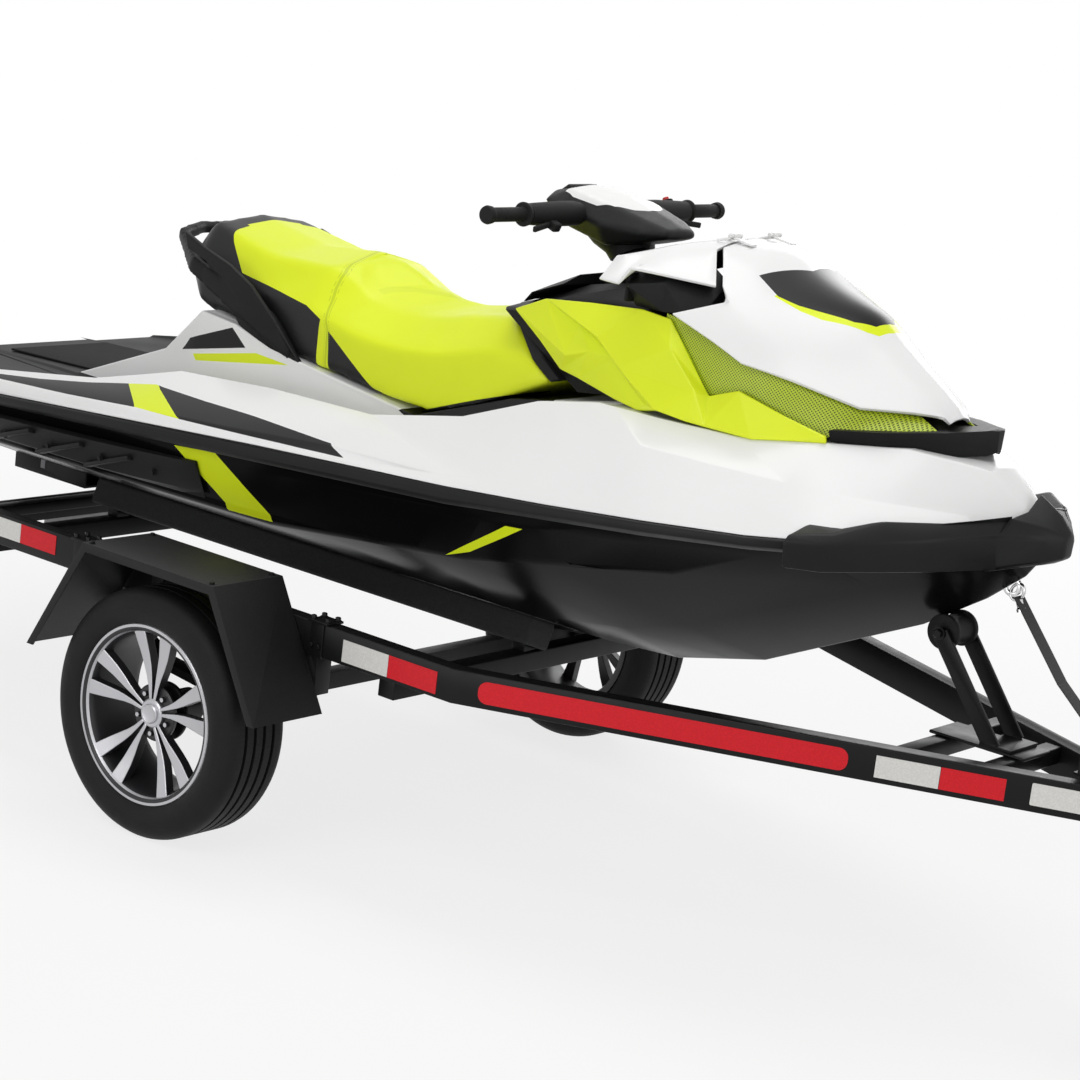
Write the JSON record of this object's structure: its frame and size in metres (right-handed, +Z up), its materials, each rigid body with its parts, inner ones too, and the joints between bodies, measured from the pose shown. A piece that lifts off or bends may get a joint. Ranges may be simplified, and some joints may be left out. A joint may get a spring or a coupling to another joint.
{
  "type": "personal watercraft on trailer",
  "caption": "Sit-down personal watercraft with a jet drive, resting on bunks of a black A-frame road trailer with fenders, alloy wheels and a jockey wheel.",
  "frame": {"origin": "centre of the whole outline on the ground", "axes": "+X forward to the bow and the coupler, +Y to port, +Z up"},
  "size_m": [3.9, 1.854, 1.646],
  "materials": {
    "black_gelcoat": "gloss",
    "white_gelcoat": "gloss",
    "lime_panel": "satin",
    "lime_vinyl": "satin",
    "black_plastic": "matte",
    "mat_foam": "matte",
    "dark_metal": "satin",
    "stainless": "polished",
    "black_steel": "satin",
    "zinc_tube": "satin",
    "fender_plastic": "matte",
    "bunk_carpet": "matte",
    "tyre_rubber": "matte",
    "alloy": "machined",
    "red_lens": "gloss",
    "plate_grey": "satin",
    "webbing": "matte"
  },
  "bodies": {
    "craft_and_frame": {"axle": "black_steel", "bow_bumper": "black_gelcoat", "bow_eye": "stainless", "bunk_brackets": "black_steel", "bunks": "bunk_carpet", "console": "black_plastic", "coupler": "black_steel", "cowl": "white_gelcoat", "cross_members": "black_steel", "deck": "white_gelcoat", "engine": "dark_metal", "fender_left": "fender_plastic", "fender_right": "fender_plastic", "grab_handle": "black_plastic", "hull": "black_gelcoat", "intake_grate": "black_plastic", "jack": "black_steel", "jet_pump": "dark_metal", "leaf_springs": "black_steel", "light_bar": "black_steel", "mirror_pods": "black_plastic", "nose_tray": "black_plastic", "plate": "plate_grey", "rail_left": "black_steel", "rail_right": "black_steel", "rear_mat": "mat_foam", "ride_plate": "black_plastic", "roller_post": "black_steel", "rub_rail": "black_gelcoat", "seat": "lime_vinyl", "seat_trim": "black_plastic", "side_panels": "lime_panel", "sponsons": "black_gelcoat", "steering_column": "black_plastic", "stern_eyes": "stainless", "storage_bin": "black_plastic", "strap": "webbing", "tail_lights": "red_lens", "vent_meshes": "lime_panel", "winch": "black_steel"},
    "hood": {"hood": "white_gelcoat"},
    "glove_box_lid": {"glove_box_lid": "black_plastic"},
    "steering": {"steering_pod": "black_plastic", "handlebar": "black_steel", "grips": "mat_foam"},
    "nozzle": {"steering_nozzle": "dark_metal"},
    "bucket": {"reverse_bucket": "dark_metal"},
    "impeller": {"impeller": "stainless"},
    "wheel_left": {"tyre_left": "tyre_rubber", "rim_left": "alloy", "hub_left": "black_steel"},
    "wheel_right": {"tyre_right": "tyre_rubber", "rim_right": "alloy", "hub_right": "black_steel"},
    "keel_roller": {"keel_roller": "tyre_rubber"},
    "jack_tube": {"jack_tube": "zinc_tube"},
    "jockey_fork": {"jockey_fork": "black_steel"},
    "jockey_wheel": {"jockey_wheel": "tyre_rubber"}
  },
  "joints": [
    {"name": "hood_hinge", "type": "hinge", "parent": "craft_and_frame", "child": "hood", "pos_m": [0.492, 0, 1.602], "axis": [0, -1, 0], "range_deg": [0, 50]},
    {"name": "glove_box_hinge", "type": "hinge", "parent": "craft_and_frame", "child": "glove_box_lid", "pos_m": [-0.023, 0, 1.357], "axis": [0, -1, 0], "range_deg": [0, 60]},
    {"name": "steering_turn", "type": "hinge", "parent": "craft_and_frame", "child": "steering", "pos_m": [0.177, 0, 1.44], "axis": [-0.4695, 0, 0.8829], "range_deg": [-25, 25]},
    {"name": "nozzle_turn", "type": "hinge", "parent": "craft_and_frame", "child": "nozzle", "pos_m": [-1.828, 0, 0.655], "axis": [0, 0, 1], "range_deg": [-20, 20]},
    {"name": "bucket_tilt", "type": "hinge", "parent": "craft_and_frame", "child": "bucket", "pos_m": [-1.828, 0, 0.655], "axis": [0, -1, 0], "range_deg": [0, 55]},
    {"name": "impeller_spin", "type": "hinge", "parent": "craft_and_frame", "child": "impeller", "pos_m": [-1.663, 0, 0.655], "axis": [1, 0, 0], "continuous": true},
    {"name": "wheel_left_spin", "type": "hinge", "parent": "craft_and_frame", "child": "wheel_left", "pos_m": [-0.463, 0.807, 0.3055], "axis": [0, 1, 0], "continuous": true},
    {"name": "wheel_right_spin", "type": "hinge", "parent": "craft_and_frame", "child": "wheel_right", "pos_m": [-0.463, -0.807, 0.3055], "axis": [0, 1, 0], "continuous": true},
    {"name": "keel_roller_spin", "type": "hinge", "parent": "craft_and_frame", "child": "keel_roller", "pos_m": [1.165, 0, 0.822], "axis": [0, 1, 0], "continuous": true},
    {"name": "jack_slide", "type": "slide", "parent": "craft_and_frame", "child": "jack_tube", "axis": [0, 0, 1], "range_m": [0, 0.19]},
    {"name": "jockey_swivel", "type": "hinge", "parent": "jack_tube", "child": "jockey_fork", "pos_m": [1.737, 0.105, 0.3], "axis": [0, 0, 1], "continuous": true},
    {"name": "jockey_wheel_spin", "type": "hinge", "parent": "jockey_fork", "child": "jockey_wheel", "pos_m": [1.692, 0.105, 0.1], "axis": [0, 1, 0], "continuous": true}
  ],
  "couplings": [
    {"joint": "nozzle_turn", "follows": "steering_turn", "ratio": -0.8}
  ]
}
